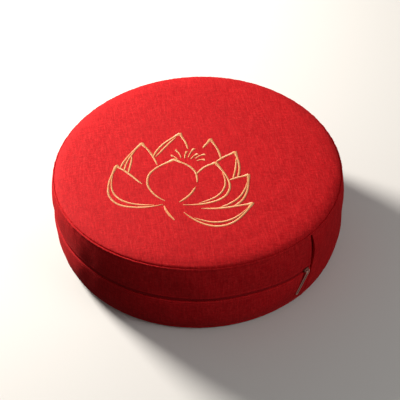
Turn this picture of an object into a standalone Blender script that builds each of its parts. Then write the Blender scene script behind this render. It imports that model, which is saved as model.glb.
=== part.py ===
"""Round meditation cushion: a drum-shaped filled cushion with a crowned top, a sewn band and a zip.

+Z is up and the cushion stands on the plane z = 0, centred on the Z axis. Azimuth 0 points
along -Y, the side with the zip, and grows towards +X.
"""

import math

import bmesh
import bpy
import numpy as np
from mathutils import Matrix, Vector

MM = 0.001

# The cushion
RADIUS = 0.210
RIM_HEIGHT = 0.1185
RIM_WAVE = 3.6 * MM
RIM_WAVE_AZIMUTH = math.radians(-10)
RIM_DRAWN_IN = 4.0 * MM
RIM_GROOVE = 1.6 * MM
RIM_RIDGE = 0.4 * MM
FOOT_HEIGHT = 7.4 * MM
FOOT_DRAWN_IN = 6.0 * MM
FOOT_GROOVE = 1.2 * MM
FLAT_RADIUS = 0.195
BAND_SWELL_SHARE = 0.3

# The crowned top: a turned lip, a slope that eases off inwards and a low dome over the whole panel
LIP_HEIGHT = 1.2 * MM
EDGE_SLOPE = math.tan(math.radians(30))
EDGE_REACH = 16 * MM
DOME_HEIGHT = 3.0 * MM
CROWN_HEIGHT = RIM_HEIGHT + LIP_HEIGHT + EDGE_SLOPE * EDGE_REACH + DOME_HEIGHT
CROWN_STEPS = (2.2, 5, 8.5, 13, 19, 27, 38, 53, 73, 98, 128, 160, 188)

LOWER_BAND_SHARES = (0.0, 0.12, 0.3, 0.55, 0.8, 1.0)
UPPER_BAND_SHARES = (0.0, 0.2, 0.45, 0.7, 0.88, 1.0)
COLUMNS = 96

# The upright seams at the two ends of the zip
SEAM_AZIMUTH = math.radians(47.8)
BACK_SEAM_AZIMUTH = SEAM_AZIMUTH - math.pi
SEAM_DEPTH = 3.6 * MM
SEAM_WIDTH = 1.9 * MM
SEAM_COLUMNS = (-1.7, -0.85, -0.4, 0.0, 0.4, 0.85, 1.7)
SEAM_CLEAR = math.radians(2.6)

# The channel that the zip lies in: half widths, and depths under the band's surface
ZIP_HEIGHT = 65.2 * MM
ZIP_DIP = 5.8 * MM
ZIP_RISE = 1.6 * MM
ZIP_BEND = (math.radians(8), math.radians(41))
WAIST_DEPTH = 0.9 * MM
WAIST_SPREAD = 11 * MM
CHANNEL_MOUTH = 4.2 * MM
CHANNEL_NECK = 3.4 * MM
CHANNEL_NECK_DEPTH = 1.1 * MM
CHANNEL_FLOOR = 2.9 * MM
CHANNEL_DEPTH = 3.2 * MM
CHANNEL_END = (math.radians(0.4), math.radians(1.2))

# The zip, its slider, link and pull
GAP = 0.3 * MM
CHAIN_WIDTH = 4.8 * MM
CHAIN_THICKNESS = 2.0 * MM
CHAIN_STEPS = 72
CHAIN_END = math.radians(1.8)
SLIDER_AZIMUTH = math.radians(43.8)
SLIDER_LENGTH = 9.0 * MM
SLIDER_WIDTH = 6.0 * MM
SLIDER_THICKNESS = 2.6 * MM
SLIDER_NOSE = 1.6 * MM
SLIDER_TAIL_SHARE = 0.72
BRIDGE_LENGTH = 7.0 * MM
BRIDGE_FOOT = 1.1 * MM
BRIDGE_WIDTH = 2.2 * MM
BRIDGE_BAR = 0.9 * MM
BRIDGE_OPENING = 1.9 * MM

LINK_WIRE = 0.9 * MM
LINK_SIDES = 8
LINK_INSIDE_HEIGHT = 2.0 * MM
PULL_TILT = math.radians(26)
PULL_LENGTH = 39.0 * MM
PULL_WIDTH = 4.6 * MM
PULL_THICKNESS = 1.3 * MM
PULL_HOLE_RADIUS = 1.0 * MM
PULL_HEAD_WALL = 1.3 * MM
PULL_RIM = 1.0 * MM
PULL_RECESS = 0.35 * MM


def clear_scene():
    for thing in list(bpy.data.objects):
        bpy.data.objects.remove(thing, do_unlink=True)


def material(name, colour, roughness, metallic=0.0):
    finish = bpy.data.materials.new(name)
    finish.use_nodes = True
    shader = finish.node_tree.nodes["Principled BSDF"]
    shader.inputs["Base Color"].default_value = (*colour, 1.0)
    shader.inputs["Roughness"].default_value = roughness
    shader.inputs["Metallic"].default_value = metallic
    return finish


def smoothstep(low, high, value):
    share = min(max((value - low) / (high - low), 0.0), 1.0)
    return share * share * (3 - 2 * share)


def angle_between(first, second):
    """The signed turn from second to first, between -pi and pi."""
    return (first - second + math.pi) % (2 * math.pi) - math.pi


# The shape of the filled cover, as radius and height at an azimuth


def rim_height(azimuth):
    """Height of the seam that joins the top panel to the band: it rises and falls a little."""
    return RIM_HEIGHT + RIM_WAVE * math.cos(2 * (azimuth - RIM_WAVE_AZIMUTH))


def zip_height(azimuth):
    """The zip dips towards its slider and rises a little towards its other end."""
    dip = ZIP_DIP * smoothstep(*ZIP_BEND, azimuth)
    rise = ZIP_RISE * smoothstep(*ZIP_BEND, -azimuth)
    return ZIP_HEIGHT - dip + rise


def in_zip(azimuth):
    """1 along the front half of the band, where the zip is, and 0 along the plain back half."""
    from_seam = angle_between(SEAM_AZIMUTH - math.pi / 2, azimuth)
    reach = math.pi / 2 - abs(from_seam)
    return smoothstep(*CHANNEL_END, reach)


def band_radius(azimuth, height):
    """The barrelled band, before its seams and channel are drawn in."""
    rim = rim_height(azimuth)
    swell_top = FOOT_HEIGHT + BAND_SWELL_SHARE * RIM_HEIGHT
    if height < swell_top:
        share = (height - FOOT_HEIGHT) / (swell_top - FOOT_HEIGHT)
        radius = RADIUS - FOOT_DRAWN_IN * (1 - share) ** 2.5
    else:
        share = min((height - swell_top) / (rim - swell_top), 1.0)
        radius = RADIUS - RIM_DRAWN_IN * share**5
    waist = math.exp(-(((height - zip_height(azimuth)) / WAIST_SPREAD) ** 2))
    return radius - WAIST_DEPTH * waist * in_zip(azimuth)


def seam_pull(azimuth, height):
    """How far an upright seam draws the band in: deepest in the upper half, shallow at the foot."""
    pull = 0.0
    for seam in (SEAM_AZIMUTH, BACK_SEAM_AZIMUTH):
        away = angle_between(azimuth, seam) * RADIUS
        pull += math.exp(-((away / SEAM_WIDTH) ** 2))
    share = (height - FOOT_HEIGHT) / (rim_height(azimuth) - FOOT_HEIGHT)
    share = min(max(share, 0.0), 1.0)
    along = 0.45 + 0.55 * math.sin(math.pi * share**1.6)
    return SEAM_DEPTH * pull * along


def foot_rows(azimuth):
    """The bottom panel, from its flat to the lower rim seam."""
    seam_radius = RADIUS - FOOT_DRAWN_IN
    rows = [(FLAT_RADIUS, 0.0)]
    for degrees in (36, 68):
        turn = math.radians(degrees)
        radius = FLAT_RADIUS + (seam_radius - FLAT_RADIUS) * math.sin(turn)
        rows.append((radius, FOOT_HEIGHT * (1 - math.cos(turn))))
    rows.append((seam_radius - FOOT_GROOVE, FOOT_HEIGHT))
    return rows


def band_row(azimuth, height, sunk=0.0):
    return (band_radius(azimuth, height) - seam_pull(azimuth, height) - sunk, height)


def lower_band_rows(azimuth):
    start = FOOT_HEIGHT + FOOT_GROOVE
    end = zip_height(azimuth) - CHANNEL_MOUTH
    return [band_row(azimuth, start + (end - start) * share) for share in LOWER_BAND_SHARES]


def channel_rows(azimuth):
    """The two folded edges and the sunk floor between them, in which the zip lies."""
    middle = zip_height(azimuth)
    depth = CHANNEL_DEPTH * in_zip(azimuth)
    neck = CHANNEL_NECK_DEPTH * in_zip(azimuth)
    steps = (
        (-CHANNEL_NECK, neck),
        (-CHANNEL_FLOOR, depth),
        (CHANNEL_FLOOR, depth),
        (CHANNEL_NECK, neck),
    )
    return [band_row(azimuth, middle + away, sunk) for away, sunk in steps]


def upper_band_rows(azimuth):
    start = zip_height(azimuth) + CHANNEL_MOUTH
    end = rim_height(azimuth) - 1.5 * RIM_GROOVE
    return [band_row(azimuth, start + (end - start) * share) for share in UPPER_BAND_SHARES]


def rim_rows(azimuth):
    """The band's turned edge stands up as a thin ridge, and the seam sits in the groove above it."""
    rim = rim_height(azimuth)
    seam_radius = RADIUS - RIM_DRAWN_IN
    return [(seam_radius + RIM_RIDGE, rim - 0.45 * RIM_GROOVE), (seam_radius - RIM_GROOVE, rim)]


def crown_rows(azimuth):
    """The top panel: it rolls up from the seam and then lies as a low dome."""
    start = RADIUS - RIM_DRAWN_IN
    rows = []
    for step in CROWN_STEPS:
        inwards = step * MM
        share = 1 - inwards / start
        rim = RIM_HEIGHT + (rim_height(azimuth) - RIM_HEIGHT) * share**2
        edge = EDGE_SLOPE * EDGE_REACH * (1 - math.exp(-inwards / EDGE_REACH))
        rows.append((start - inwards, rim + LIP_HEIGHT + edge + DOME_HEIGHT * (1 - share**2)))
    return rows


def column_azimuths():
    """Even columns, and closer ones across each upright seam."""
    seams = (SEAM_AZIMUTH, BACK_SEAM_AZIMUTH)
    azimuths = [seam + math.radians(step) for seam in seams for step in SEAM_COLUMNS]
    for index in range(COLUMNS):
        azimuth = -math.pi + index * 2 * math.pi / COLUMNS
        if all(abs(angle_between(azimuth, seam)) > SEAM_CLEAR for seam in seams):
            azimuths.append(azimuth)
    return sorted(azimuths)


def place(azimuth, radius, height):
    return Vector((radius * math.sin(azimuth), -radius * math.cos(azimuth), height))


def new_object(name, mesh_builder, finish, smooth_angle=None):
    mesh = bpy.data.meshes.new(name)
    mesh_builder.to_mesh(mesh)
    mesh_builder.free()
    mesh.materials.append(finish)
    mesh.shade_smooth()
    if smooth_angle is not None:
        mesh.set_sharp_from_angle(angle=smooth_angle)
    thing = bpy.data.objects.new(name, mesh)
    bpy.context.scene.collection.objects.link(thing)
    return thing


def make_cushion(finish):
    shape = bmesh.new()
    columns = []
    for azimuth in column_azimuths():
        rows = foot_rows(azimuth) + lower_band_rows(azimuth) + channel_rows(azimuth)
        rows += upper_band_rows(azimuth) + rim_rows(azimuth) + crown_rows(azimuth)
        columns.append([shape.verts.new(place(azimuth, r, z)) for r, z in rows])
    top = shape.verts.new((0, 0, CROWN_HEIGHT))
    for index, here in enumerate(columns):
        there = columns[(index + 1) % len(columns)]
        for row in range(len(here) - 1):
            shape.faces.new((here[row], there[row], there[row + 1], here[row + 1]))
        shape.faces.new((here[-1], there[-1], top))
    shape.faces.new([column[0] for column in reversed(columns)])
    return new_object("cushion", shape, finish, math.radians(55))


def make_chain(finish):
    """The closed teeth as one strip, swept along the channel just above its floor."""
    shape = bmesh.new()
    half = CHAIN_WIDTH / 2
    low = CHANNEL_DEPTH - GAP
    section = (
        (-half, low),
        (-half, low - 0.45 * CHAIN_THICKNESS),
        (-0.55 * half, low - 0.9 * CHAIN_THICKNESS),
        (0.0, low - CHAIN_THICKNESS),
        (0.55 * half, low - 0.9 * CHAIN_THICKNESS),
        (half, low - 0.45 * CHAIN_THICKNESS),
        (half, low),
    )
    rings = []
    for azimuth in np.linspace(BACK_SEAM_AZIMUTH + CHAIN_END, SLIDER_AZIMUTH, CHAIN_STEPS):
        middle = zip_height(azimuth)
        ring = []
        for away, sunk in section:
            radius, height = band_row(azimuth, middle + away, sunk)
            ring.append(shape.verts.new(place(azimuth, radius, height)))
        rings.append(ring)
    count = len(section)
    for here, there in zip(rings, rings[1:]):
        for index in range(count):
            after = (index + 1) % count
            shape.faces.new((here[after], here[index], there[index], there[after]))
    shape.faces.new(rings[0])
    shape.faces.new(list(reversed(rings[-1])))
    bmesh.ops.recalc_face_normals(shape, faces=shape.faces)
    return new_object("zip_chain", shape, finish, math.radians(40))


# The metal pieces are placed in a frame at the slider: u along the zip, v up and w outwards


def zip_frame():
    """The columns are u, v and w, and the origin is on the band's surface at the slider."""
    azimuth = SLIDER_AZIMUTH
    height = zip_height(azimuth)
    along = Vector((math.cos(azimuth), math.sin(azimuth), 0.0))
    up = Vector((0.0, 0.0, 1.0))
    out = Vector((math.sin(azimuth), -math.cos(azimuth), 0.0))
    frame = Matrix((along, up, out)).transposed().to_4x4()
    frame.translation = place(azimuth, band_radius(azimuth, height), height)
    return frame


def plate(shape, outline, low, high):
    """A flat plate of this outline, from low to high along w. Returns its upper face."""
    bottom = [shape.verts.new((u, v, low)) for u, v in outline]
    top = [shape.verts.new((u, v, high)) for u, v in outline]
    count = len(outline)
    for index in range(count):
        after = (index + 1) % count
        shape.faces.new((bottom[index], bottom[after], top[after], top[index]))
    shape.faces.new(list(reversed(bottom)))
    return shape.faces.new(top)


def slider_outline():
    """A zip slider seen from the front: a blunt nose at the seam end, a narrower tail."""
    half_length = SLIDER_LENGTH / 2
    half_width = SLIDER_WIDTH / 2
    outline = []
    for step in range(9):
        turn = math.radians(-90 + 22.5 * step)
        u = half_length - SLIDER_NOSE + SLIDER_NOSE * math.cos(turn)
        outline.append((u, half_width * math.sin(turn)))
    outline.append((-half_length, SLIDER_TAIL_SHARE * half_width))
    outline.append((-half_length, -SLIDER_TAIL_SHARE * half_width))
    return outline


def make_slider(finish):
    """The slider's body, with the bridge that holds the link standing on it."""
    low = CHAIN_THICKNESS + 2 * GAP - CHANNEL_DEPTH
    high = low + SLIDER_THICKNESS
    shape = bmesh.new()
    plate(shape, slider_outline(), low, high)
    body = new_object("zip_slider", shape, finish, math.radians(30))

    half = BRIDGE_LENGTH / 2
    inner_half = half - BRIDGE_FOOT
    inside = high + BRIDGE_OPENING
    outside = inside + BRIDGE_BAR
    sunk = high - SLIDER_THICKNESS / 3
    arch = (
        (-half, sunk),
        (-inner_half, sunk),
        (-inner_half, inside - BRIDGE_BAR / 2),
        (-inner_half + BRIDGE_BAR / 2, inside),
        (inner_half - BRIDGE_BAR / 2, inside),
        (inner_half, inside - BRIDGE_BAR / 2),
        (inner_half, sunk),
        (half, sunk),
        (half, outside - BRIDGE_FOOT),
        (half - BRIDGE_FOOT, outside),
        (-half + BRIDGE_FOOT, outside),
        (-half, outside - BRIDGE_FOOT),
    )
    shape = bmesh.new()
    near = [shape.verts.new((u, -BRIDGE_WIDTH / 2, w)) for u, w in arch]
    far = [shape.verts.new((u, BRIDGE_WIDTH / 2, w)) for u, w in arch]
    count = len(arch)
    for index in range(count):
        after = (index + 1) % count
        shape.faces.new((near[index], near[after], far[after], far[index]))
    shape.faces.new(list(reversed(near)))
    shape.faces.new(far)
    bmesh.ops.recalc_face_normals(shape, faces=shape.faces)
    bridge = new_object("slider_bridge", shape, finish, math.radians(30))
    bridge.hide_render = True
    bridge.display_type = "WIRE"

    join = body.modifiers.new("bridge on body", "BOOLEAN")
    join.operation = "UNION"
    join.solver = "EXACT"
    join.object = bridge
    for thing in (body, bridge):
        thing.matrix_world = zip_frame()
    return high


def hanging_frame(body_top):
    """What hangs from the bridge: x across the pull, y up along it, z outwards, at the bar's middle."""
    lift = Matrix.Translation((0.0, 0.0, body_top + BRIDGE_OPENING + BRIDGE_BAR / 2))
    return zip_frame() @ lift @ Matrix.Rotation(-PULL_TILT, 4, "Z")


def link_ends():
    """Where the link's wire turns, along y: above the bar, and in the hole of the pull."""
    half_bar = BRIDGE_WIDTH / 2
    top = (half_bar + GAP + LINK_WIRE / 2) / math.cos(PULL_TILT)
    head_middle = -(half_bar + GAP + PULL_WIDTH / 2) / math.cos(PULL_TILT)
    head_top = head_middle + PULL_WIDTH / 2
    foot = head_top - PULL_HEAD_WALL - GAP - LINK_WIRE / 2
    return top, foot, head_top


def make_link(finish, body_top):
    """A small closed wire link: one end round the bridge's bar, the other through the pull."""
    top, foot, _ = link_ends()
    turn_radius = (LINK_INSIDE_HEIGHT + LINK_WIRE) / 2
    path = []
    for step in range(9):
        turn = math.radians(180 * step / 8)
        path.append((top - turn_radius + turn_radius * math.sin(turn), turn_radius * math.cos(turn)))
    for step in range(9):
        turn = math.radians(180 + 180 * step / 8)
        path.append((foot + turn_radius + turn_radius * math.sin(turn), turn_radius * math.cos(turn)))

    shape = bmesh.new()
    rings = []
    count = len(path)
    for index, (y, z) in enumerate(path):
        before = path[index - 1]
        after = path[(index + 1) % count]
        heading = Vector((0, after[0] - before[0], after[1] - before[1])).normalized()
        side = Vector((1, 0, 0))
        lift = side.cross(heading)
        ring = []
        for corner in range(LINK_SIDES):
            turn = 2 * math.pi * corner / LINK_SIDES
            spoke = side * math.cos(turn) + lift * math.sin(turn)
            ring.append(shape.verts.new(Vector((0, y, z)) + spoke * LINK_WIRE / 2))
        rings.append(ring)
    for index, here in enumerate(rings):
        there = rings[(index + 1) % count]
        for corner in range(LINK_SIDES):
            after = (corner + 1) % LINK_SIDES
            shape.faces.new((here[corner], here[after], there[after], there[corner]))
    bmesh.ops.recalc_face_normals(shape, faces=shape.faces)
    link = new_object("pull_link", shape, finish)
    link.matrix_world = hanging_frame(body_top)


def pull_outline():
    """A long slim bar with round ends, its head at the origin."""
    half = PULL_WIDTH / 2
    outline = []
    for end, start in ((-half, 0), (half - PULL_LENGTH, 180)):
        for step in range(13):
            turn = math.radians(start + 15 * step)
            outline.append((half * math.cos(turn), end + half * math.sin(turn)))
    return outline


def room_behind(frame):
    """The least distance from the back of the pull to the band's cloth."""
    least = math.inf
    for share in np.linspace(0.0, 1.0, 25):
        for side in (-0.5, 0.0, 0.5):
            back = frame @ Vector((side * PULL_WIDTH, -share * PULL_LENGTH, -PULL_THICKNESS / 2))
            azimuth = math.atan2(back.x, -back.y)
            radius = math.hypot(back.x, back.y)
            least = min(least, radius - band_radius(azimuth, back.z))
    return least


def pull_frame(body_top):
    """The pull hangs in the link and leans back until its foot rests on the cloth."""
    _, foot, head_top = link_ends()
    pivot = hanging_frame(body_top) @ Matrix.Translation((0, foot, 0))
    to_head = Matrix.Translation((0, head_top - foot, 0))
    frame = pivot @ to_head
    for degrees in np.arange(0.0, 15.0, 0.1):
        leaning = pivot @ Matrix.Rotation(math.radians(degrees), 4, "X") @ to_head
        if room_behind(leaning) < GAP:
            break
        frame = leaning
    return frame


def make_pull(finish, body_top):
    """The pull: its raised rim stands round a sunk middle, and its head has a hole for the link."""
    shape = bmesh.new()
    half_thick = PULL_THICKNESS / 2
    face = plate(shape, pull_outline(), -half_thick, half_thick)
    bmesh.ops.inset_region(shape, faces=[face], thickness=PULL_RIM, depth=0.0)
    bmesh.ops.inset_region(shape, faces=[face], thickness=0.25 * MM, depth=-PULL_RECESS)
    bmesh.ops.recalc_face_normals(shape, faces=shape.faces)
    pull = new_object("pull_tab", shape, finish, math.radians(30))

    hole = bmesh.new()
    bmesh.ops.create_cone(
        hole,
        cap_ends=True,
        segments=16,
        radius1=PULL_HOLE_RADIUS,
        radius2=PULL_HOLE_RADIUS,
        depth=4 * PULL_THICKNESS,
        matrix=Matrix.Translation((0, -PULL_HEAD_WALL - PULL_HOLE_RADIUS, 0)),
    )
    cutter = new_object("pull_hole", hole, finish)
    cutter.hide_render = True
    cutter.display_type = "WIRE"
    cut = pull.modifiers.new("hole for the link", "BOOLEAN")
    cut.operation = "DIFFERENCE"
    cut.solver = "EXACT"
    cut.object = cutter
    for thing in (pull, cutter):
        thing.matrix_world = pull_frame(body_top)


def main():
    clear_scene()
    cloth = material("red cloth", (0.42, 0.012, 0.024), 0.85)
    teeth = material("red zip teeth", (0.34, 0.010, 0.020), 0.55)
    metal = material("rose metal", (0.72, 0.44, 0.34), 0.32, metallic=1.0)
    make_cushion(cloth)
    make_chain(teeth)
    body_top = make_slider(metal)
    make_link(metal, body_top)
    make_pull(metal, body_top)


main()
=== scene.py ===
import math
from functools import partial

import bmesh
import bpy
import numpy as np
from mathutils import Matrix, Vector
from mathutils.bvhtree import BVHTree


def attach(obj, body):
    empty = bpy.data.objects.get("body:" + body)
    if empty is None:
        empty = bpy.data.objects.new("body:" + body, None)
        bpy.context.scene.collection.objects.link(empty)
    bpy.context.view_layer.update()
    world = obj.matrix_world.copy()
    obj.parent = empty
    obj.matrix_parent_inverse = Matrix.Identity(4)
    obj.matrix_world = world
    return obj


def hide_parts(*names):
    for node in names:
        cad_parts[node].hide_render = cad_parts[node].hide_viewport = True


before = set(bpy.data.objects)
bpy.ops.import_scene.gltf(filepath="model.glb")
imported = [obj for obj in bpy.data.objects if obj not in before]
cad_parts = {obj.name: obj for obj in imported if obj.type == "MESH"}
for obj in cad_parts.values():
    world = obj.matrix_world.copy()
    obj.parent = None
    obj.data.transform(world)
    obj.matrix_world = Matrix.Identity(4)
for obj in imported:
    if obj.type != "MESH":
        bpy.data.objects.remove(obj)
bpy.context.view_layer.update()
mm = 0.001

# Azimuths are called turns: 0 is the side with the zip (-Y) and they grow towards +X.


def smoothstep(low, high, value):
    share = np.clip((value - low) / (high - low), 0.0, 1.0)
    return share * share * (3 - 2 * share)


def turnBetween(first, second):
    return (first - second + np.pi) % (2 * np.pi) - np.pi


def placed(turns, radius, height):
    return np.stack([radius * np.sin(turns), -radius * np.cos(turns), height + 0 * turns], axis=-1)


def outwardAt(turn):
    return Vector((math.sin(turn), -math.cos(turn), 0))


def bell(away, spread):
    return np.exp(-((away / spread) ** 2))


def throughPoints(stations, at):
    # A smooth curve through (place, value) stations
    places, values = np.array(stations, float).T
    slopes = np.gradient(values, places)
    low = np.clip(np.searchsorted(places, at, side="right") - 1, 0, len(places) - 2)
    gap = places[low + 1] - places[low]
    part = (at - places[low]) / gap
    first = (1 + 2 * part) * (1 - part) ** 2 * values[low] + part * (1 - part) ** 2 * gap * slopes[low]
    second = part**2 * (3 - 2 * part) * values[low + 1] - part**2 * (1 - part) * gap * slopes[low + 1]
    return first + second


# Node trees


def addNode(tree, kind, settings=None, inputs=None):
    node = tree.nodes.new(kind)
    for name, value in (settings or {}).items():
        setattr(node, name, value)
    for socket, value in (inputs or {}).items():
        if isinstance(value, bpy.types.NodeSocket):
            tree.links.new(value, node.inputs[socket])
        else:
            node.inputs[socket].default_value = value
    return node


def calc(tree, operation, *values):
    return addNode(tree, "ShaderNodeMath", {"operation": operation}, dict(enumerate(values))).outputs[0]


def sumsOf(tree):
    # plus, minus and times, which add their nodes to a tree
    return (partial(calc, tree, operation) for operation in ("ADD", "SUBTRACT", "MULTIPLY"))


def ranged(tree, value, low, high, newLow, newHigh):
    inputs = {"Value": value, "From Min": low, "From Max": high, "To Min": newLow, "To Max": newHigh}
    return addNode(tree, "ShaderNodeMapRange", {}, inputs).outputs["Result"]


def mixed(tree, share, first, second):
    inputs = {0: share, 6: first, 7: second}
    return addNode(tree, "ShaderNodeMix", {"data_type": "RGBA"}, inputs).outputs[2]


def noiseAt(tree, vector, scale, detail=2.0, roughness=0.5):
    inputs = {"Vector": vector, "Scale": scale, "Detail": detail, "Roughness": roughness}
    return addNode(tree, "ShaderNodeTexNoise", {}, inputs).outputs["Fac"]


def newMaterial(name, shaderValues):
    finish = bpy.data.materials.new(name)
    finish.use_nodes = True
    tree = finish.node_tree
    shader = tree.nodes["Principled BSDF"]
    for socket, value in shaderValues.items():
        shader.inputs[socket].default_value = value
    return finish, tree, shader


def objectPlace(tree):
    return addNode(tree, "ShaderNodeTexCoord").outputs["Object"]


def toneOf(tree):
    return addNode(tree, "ShaderNodeAttribute", {"attribute_name": "tone"}).outputs["Fac"]


def vectorCalc(tree, operation, first, second):
    inputs = {0: first, "Scale" if operation == "SCALE" else 1: second}
    return addNode(tree, "ShaderNodeVectorMath", {"operation": operation}, inputs).outputs[0]


def addBump(tree, shader, height, strength, distance):
    inputs = {"Strength": strength, "Distance": distance, "Height": height}
    tree.links.new(addNode(tree, "ShaderNodeBump", {}, inputs).outputs[0], shader.inputs["Normal"])


# Meshes and objects


def linked(name, data):
    piece = bpy.data.objects.new(name, data)
    bpy.context.scene.collection.objects.link(piece)
    return piece


def addPiece(name, mesh, finish):
    mesh.materials.clear()
    mesh.materials.append(finish)
    return linked(name, mesh)


def applied(piece, modifier, **choices):
    # The piece gets the mesh that its modifier makes, and the modifier goes
    graph = bpy.context.evaluated_depsgraph_get()
    whole = bpy.data.meshes.new_from_object(piece.evaluated_get(graph), depsgraph=graph, **choices)
    piece.modifiers.remove(modifier)
    piece.data = whole
    whole.name = piece.name
    return whole


def meshOf(name, points, edges=(), faces=()):
    mesh = bpy.data.meshes.new(name)
    mesh.from_pydata([tuple(point) for point in points], edges, faces)
    return mesh


def reshaped(mesh, change):
    shape = bmesh.new()
    shape.from_mesh(mesh)
    change(shape)
    shape.to_mesh(mesh)
    shape.free()
    return mesh


# The red linen

linenLook = {
    "pitch": 0.00092,  # from one thread to the next
    # painted shade for the gaps between the threads
    "paintedGapShade": (0.36, 0.002, 0.005, 1),
    "red": (0.59, 0.007, 0.012, 1),
    "paleRed": (0.80, 0.028, 0.030, 1),
    "shader": {
        "Roughness": 0.74,
        "Specular IOR Level": 0.08,
        "Sheen Weight": 0.03,
        "Sheen Roughness": 0.45,
        "Sheen Tint": (1.0, 0.45, 0.42, 1),
    },
    "waver": 1.1,  # how far threads wander, in pitches
    "waverScale": 55.0,
    "slubLength": 0.014,
    "reliefDepth": 0.00022,
    "reliefStrength": 0.7,
    "speck": 0.14,  # how much specks, mottle, streaks and broad patches brighten and darken
    "speckScale": 620.0,
    "mottle": 0.12,
    "mottleScale": 250.0,
    "streaks": 0.07,
    "streakScale": (330, 34, 1),
    "nap": math.radians(35),  # which way the streaks run
    "broad": 0.04,
    "broadScale": 16.0,
}


def makeLinen(name):
    look = linenLook
    finish, tree, shader = newMaterial(name, look["shader"])
    plus, minus, times = sumsOf(tree)
    uv = addNode(tree, "ShaderNodeUVMap", {"uv_map": "weave"}).outputs[0]
    ways = addNode(tree, "ShaderNodeSeparateXYZ", {}, {0: uv}).outputs

    # Threads wander a little off their straight lines
    waver = times(minus(noiseAt(tree, uv, look["waverScale"]), 0.5), look["waver"])
    places = [plus(calc(tree, "DIVIDE", way, look["pitch"]), waver) for way in ways[:2]]
    warpIndex, weftIndex = (calc(tree, "FLOOR", place) for place in places)
    acrossPart, alongPart = (calc(tree, "FRACT", place) for place in places)
    over = calc(tree, "PINGPONG", plus(warpIndex, weftIndex), 1.0)

    # Slubs: thick and thin stretches along each thread
    def slubs(index, otherWay, seed):
        length = calc(tree, "DIVIDE", otherWay, look["slubLength"])
        spot = addNode(tree, "ShaderNodeCombineXYZ", {}, {0: times(index, 0.83), 1: length, 2: seed})
        return noiseAt(tree, spot.outputs[0], 1.0, 3.0, 0.6)

    warpSlub = slubs(warpIndex, ways[1], 3.7)
    weftSlub = slubs(weftIndex, ways[0], 11.2)

    def threadHeight(part, otherPart, lifted, slub):
        rounded, arch = (calc(tree, "SINE", times(value, math.pi)) for value in (part, otherPart))
        body = times(rounded, plus(0.55, times(arch, minus(times(lifted, 0.8), 0.4))))
        return times(body, ranged(tree, slub, 0.3, 0.7, 0.72, 1.25))

    warp = threadHeight(acrossPart, alongPart, over, warpSlub)
    weft = threadHeight(alongPart, acrossPart, minus(1.0, over), weftSlub)
    height = calc(tree, "MAXIMUM", warp, weft)

    # Colour: painted shade between the threads, where the weave's relief is low; paler on the slubs and
    # where the cloth is rubbed
    slub = calc(tree, "MAXIMUM", warpSlub, minus(weftSlub, 0.04))
    threadTone = mixed(tree, ranged(tree, slub, 0.42, 0.74, 0.0, 1.0), look["red"], look["paleRed"])
    colour = mixed(tree, ranged(tree, height, 0.15, 0.75, 0.0, 1.0), look["paintedGapShade"], threadTone)
    brushing = {0: uv, "Rotation": (0, 0, look["nap"]), "Scale": look["streakScale"]}
    brushed = addNode(tree, "ShaderNodeMapping", {}, brushing).outputs[0]
    speck = noiseAt(tree, uv, look["speckScale"], 2.0, 0.7)
    brightness = 1.0
    for noise, low, high, amount in (
        (speck, 0.25, 0.75, look["speck"]),
        (noiseAt(tree, uv, look["mottleScale"], 3.0, 0.65), 0.34, 0.66, look["mottle"]),
        (noiseAt(tree, brushed, 1.0, 2.0, 0.6), 0.34, 0.66, look["streaks"]),
        (noiseAt(tree, uv, look["broadScale"]), 0.3, 0.7, look["broad"]),
    ):
        brightness = times(brightness, ranged(tree, noise, low, high, 1 - amount, 1 + amount))
    tree.links.new(vectorCalc(tree, "SCALE", colour, brightness), shader.inputs["Base Color"])
    addBump(tree, shader, plus(height, times(speck, 0.35)), look["reliefStrength"], look["reliefDepth"])
    return finish


# The filled cover

coverForm = {
    "radius": 0.210,
    "rimHeight": 0.1185,
    "rimWave": 0.0036,
    "rimWaveTurn": math.radians(-10),
    "rimDrawnIn": 0.004,
    "lipHeight": 0.0016,  # the top panel rolls over at its seam
    "lipReach": 0.0030,
    "edgeSlope": math.tan(math.radians(24)),
    "edgeReach": 0.012,
    "domeHeight": 0.0045,
    "footHeight": 0.0074,
    "footDrawnIn": 0.006,
    "flatRadius": 0.195,
    "swellShare": 0.3,  # the side is widest at this share of its height
    "middleRise": 0.00015,  # of the top's middle, from the last ring of points
    "weaveTurn": math.radians(-7),
    "weaveApart": 2.0,  # between the parts, in the weave's coordinates
    "weaveShift": 0.41,  # of the plain band half's weave against the zip half's
    "zipSeam": math.radians(47.3),  # the upright seam at the slider's end, at the zip's height
    "backSeam": math.radians(47.3 - 180),
    # At shares of the band's height: the seams' bow in degrees, and their folds' depth and width in mm
    "seamBow": ((0, -4.2), (0.25, -2.3), (0.45, -0.4), (0.6, 0), (0.8, 0), (1, -0.5)),
    "seamDepth": ((0, 0.3), (0.25, 3.6), (0.45, 6.5), (0.58, 9.8), (0.85, 9.8), (0.94, 6.2), (1, 0.9)),
    "seamWidth": ((0, 0.8), (0.25, 1.9), (0.45, 3.2), (0.60, 5.2), (0.80, 4.8), (1, 1.5)),
    "seamSwayReach": 0.042,
    "seamSlimReach": 0.007,
    "nearEdge": (-0.0005, 0.0005),  # where the fold's walls start and end, from its edges
    "farEdge": (-0.0010, 0.0005),
    "seamLip": (0.0011, 0.0034, 0.0026),  # the ridge before the fold: height, way from its edge, spread
    "seamDip": (0.0007, 0.0025, 0.0040),  # the dip past it, the same way
    "seamUnder": 0.75,  # the fold goes this much under the plain side, for each mm of its depth
    "zipHeight": 0.0652,
    "zipDip": 0.0058,
    "zipRise": 0.0016,
    "zipBend": (math.radians(8), math.radians(41)),
    "zipEnd": (math.radians(0.4), math.radians(1.2)),
    "waistDepth": 0.0009,
    "waistSpread": 0.011,
    "columns": 1024,  # at the rim seam; the panels have half as many, and fewer towards the middle
    "columnsMore": 4.0,  # this much closer together across the upright seams
    "columnsReach": 0.008,
}
rimRadius = coverForm["radius"] - coverForm["rimDrawnIn"]
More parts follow.
